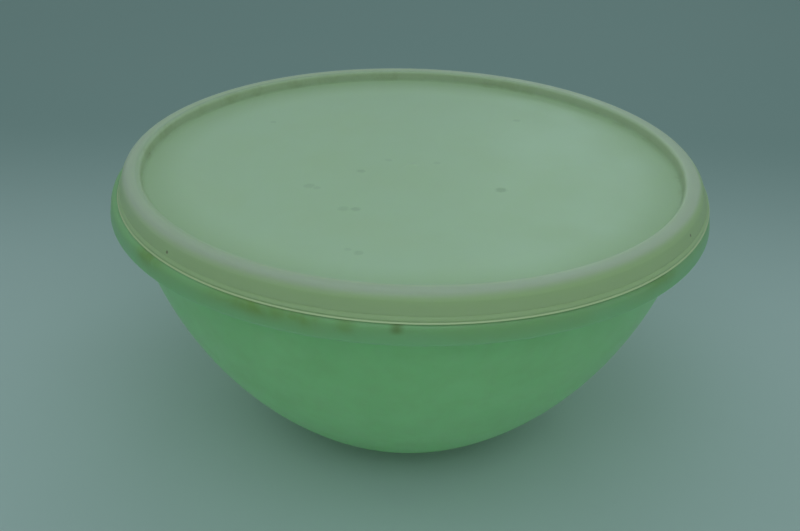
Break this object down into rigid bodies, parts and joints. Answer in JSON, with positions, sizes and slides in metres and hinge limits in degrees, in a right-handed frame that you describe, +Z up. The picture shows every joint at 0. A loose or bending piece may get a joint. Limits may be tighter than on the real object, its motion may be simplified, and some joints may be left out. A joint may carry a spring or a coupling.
{
  "type": "lidded mixing bowl",
  "caption": "Large round translucent green plastic bowl with a turned-down grip lip and a press-on off-white lid that lifts straight off.",
  "frame": {"origin": "centre of the plane that the foot ring rests on, on the bowl's axis", "axes": "+Z up along the axis that both pieces are turned about, -Y towards the front, +X to the right"},
  "size_m": [0.312, 0.312, 0.148],
  "materials": {
    "bowl_plastic": "satin, translucent mint-green polyethylene, lightly worn",
    "lid_plastic": "satin, semi-transparent natural polyethylene, slightly yellowed"
  },
  "bodies": {
    "bowl": {"bowl": "bowl_plastic"},
    "lid": {"lid": "lid_plastic"}
  },
  "joints": [
    {"name": "lid_lift", "type": "slide", "parent": "bowl", "child": "lid", "axis": [0, 0, 1], "range_m": [0, 0.1]}
  ]
}
